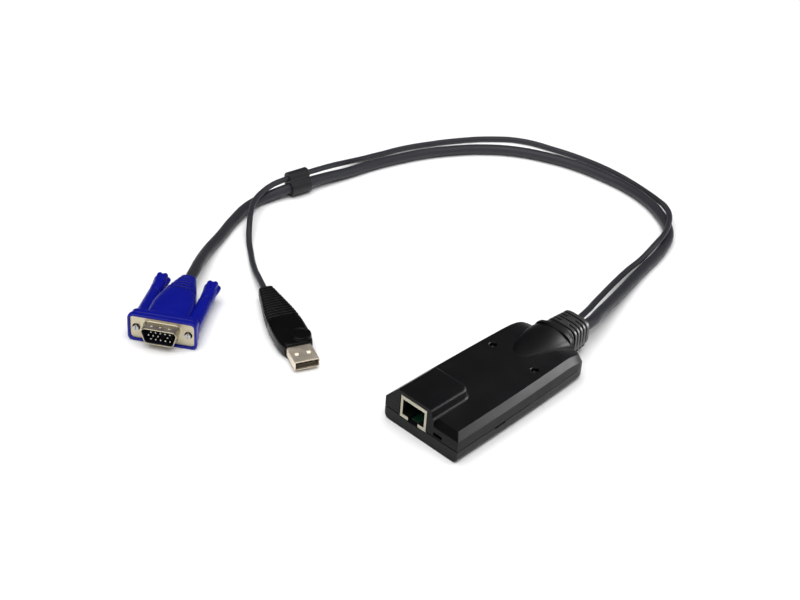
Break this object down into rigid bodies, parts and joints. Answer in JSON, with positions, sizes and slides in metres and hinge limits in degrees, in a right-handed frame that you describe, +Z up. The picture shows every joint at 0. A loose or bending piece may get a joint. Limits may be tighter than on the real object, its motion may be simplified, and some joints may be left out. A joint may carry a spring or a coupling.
{
  "type": "kvm adapter cable",
  "caption": "Keyboard, video and mouse adapter: a snap-together case with a network jack, whose ribbed boot sends out one video cable and one bus cable, joined by a collar.",
  "frame": {"origin": "middle of the case and its boot, on the surface that the part lies on", "axes": "+Z up from the surface, +Y from the network jack towards the cables, +X to the right of one who looks along +Y"},
  "size_m": [0.2121, 0.2944, 0.0198],
  "materials": {
    "case": "satin, fine moulded grain",
    "case_base": "satin, fine moulded grain",
    "board": "green solder mask",
    "jack": "satin ivory",
    "contacts": "gold plated",
    "chips": "moulded",
    "crystal_can": "drawn can",
    "can_aluminium": "drawn can",
    "lamps": "tinted lens",
    "header": "natural nylon",
    "lead_red": "smooth insulation",
    "lead_green": "smooth insulation",
    "boot": "soft moulded",
    "cable": "satin jacket",
    "collar": "satin",
    "hood": "satin royal blue",
    "plate": "yellow passivated",
    "insert_dark": "satin",
    "pins": "plated",
    "knob": "satin royal blue",
    "screw": "zinc plated",
    "grip": "smooth black",
    "plug_shell": "nickel plated",
    "insert_white": "satin"
  },
  "bodies": {
    "root": {"top_shell": "case", "bottom_shell": "case_base", "circuit_board": "board", "network_jack": "jack", "jack_contacts": "contacts", "main_controller": "chips", "line_driver": "chips", "crystal": "crystal_can", "capacitors": "can_aluminium", "status_leds": "lamps", "vga_header": "header", "usb_header": "header", "vga_leads": "lead_red", "usb_leads": "lead_green", "strain_relief": "boot", "vga_cable": "cable", "usb_cable": "cable", "cable_collar": "collar", "vga_hood": "hood", "vga_faceplate": "plate", "vga_insert": "insert_dark", "vga_pins": "pins", "usb_grip": "grip", "usb_shell": "plug_shell", "usb_insert": "insert_white", "usb_contacts": "contacts"},
    "left_thumbscrew": {"left_knob": "knob", "left_jackscrew": "screw"},
    "right_thumbscrew": {"right_knob": "knob", "right_jackscrew": "screw"}
  },
  "joints": [
    {"name": "left_screw_turn", "type": "hinge", "parent": "root", "child": "left_thumbscrew", "pos_m": [-0.13789, -0.09984, 0.0075], "axis": [0.5446, -0.8387, 0], "continuous": true},
    {"name": "right_screw_turn", "type": "hinge", "parent": "root", "child": "right_thumbscrew", "pos_m": [-0.11692, -0.08622, 0.0075], "axis": [0.5446, -0.8387, 0], "continuous": true}
  ]
}
